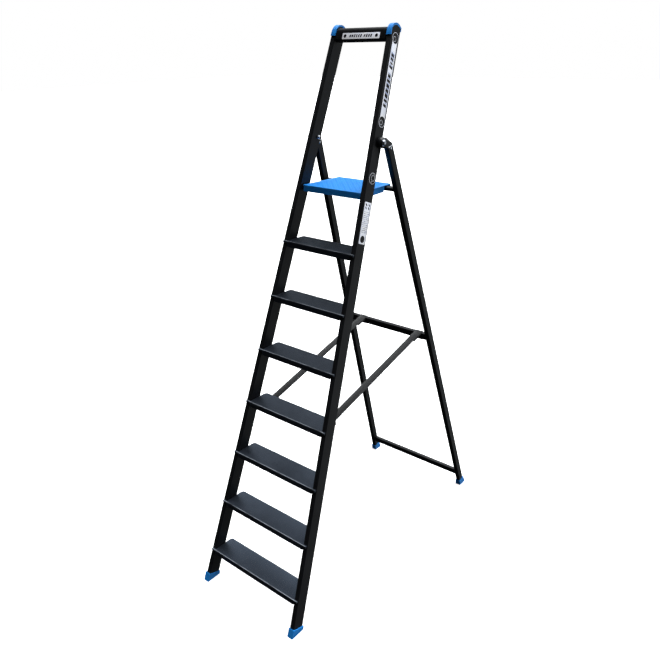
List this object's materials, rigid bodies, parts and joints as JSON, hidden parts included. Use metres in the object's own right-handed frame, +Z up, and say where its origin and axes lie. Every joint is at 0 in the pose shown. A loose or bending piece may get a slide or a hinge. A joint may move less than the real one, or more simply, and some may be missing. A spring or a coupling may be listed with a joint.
{
  "type": "platform step ladder",
  "caption": "Folding step ladder with a tall handrail, flat treads, a folding platform, a hinged rear frame and webbing limit straps.",
  "frame": {"origin": "middle of the ladder's footprint, on the floor", "axes": "+Z up; -Y is the climbing side, +Y the rear frame; +X to the climber's right"},
  "size_m": [0.6288, 1.4674, 2.4383],
  "materials": {
    "black_aluminium": "black anodised, satin",
    "grey_aluminium": "dark anodised extrusion, satin",
    "blue_plastic": "moulded polypropylene, fine grain",
    "black_plastic": "moulded nylon, satin",
    "zinc_steel": "bright zinc plated",
    "webbing": "flat woven polyester webbing"
  },
  "bodies": {
    "front_frame": {"left_stile": "black_aluminium", "right_stile": "black_aluminium", "left_top_cap": "blue_plastic", "right_top_cap": "blue_plastic", "left_front_foot": "blue_plastic", "right_front_foot": "blue_plastic", "top_crossbar": "black_aluminium", "tread_1": "grey_aluminium", "tread_2": "grey_aluminium", "tread_3": "grey_aluminium", "tread_4": "grey_aluminium", "tread_5": "grey_aluminium", "tread_6": "grey_aluminium", "tread_7": "grey_aluminium", "left_hinge_bolt": "zinc_steel", "right_hinge_bolt": "zinc_steel", "left_hinge_washer": "zinc_steel", "right_hinge_washer": "zinc_steel", "left_hinge_spacer": "black_plastic", "right_hinge_spacer": "black_plastic", "left_hinge_sleeve": "zinc_steel", "right_hinge_sleeve": "zinc_steel", "left_hinge_nut": "zinc_steel", "right_hinge_nut": "zinc_steel", "left_platform_bush": "black_plastic", "right_platform_bush": "black_plastic", "left_strap": "webbing", "right_strap": "webbing", "left_strap_clamp": "zinc_steel", "right_strap_clamp": "zinc_steel"},
    "rear_frame": {"left_rear_leg": "black_aluminium", "right_rear_leg": "black_aluminium", "lower_crossbar": "black_aluminium", "middle_crossbar": "black_aluminium", "upper_crossbar": "black_aluminium", "left_hinge_knuckle": "black_plastic", "right_hinge_knuckle": "black_plastic", "left_plug_rivet": "zinc_steel", "right_plug_rivet": "zinc_steel", "left_rear_foot": "blue_plastic", "right_rear_foot": "blue_plastic"},
    "platform": {"platform": "blue_plastic", "left_platform_pin": "zinc_steel", "right_platform_pin": "zinc_steel"}
  },
  "joints": [
    {"name": "rear_frame_fold", "type": "hinge", "parent": "front_frame", "child": "rear_frame", "pos_m": [0, 0.039, 1.99427], "axis": [-1, 0, 0], "range_deg": [0, 37], "deforming": ["left_strap", "right_strap"]},
    {"name": "platform_fold", "type": "hinge", "parent": "front_frame", "child": "platform", "pos_m": [0, -0.04995, 1.79], "axis": [1, 0, 0], "range_deg": [0, 70.3]}
  ],
  "couplings": [
    {"joint": "platform_fold", "follows": "rear_frame_fold", "ratio": 1.9}
  ]
}
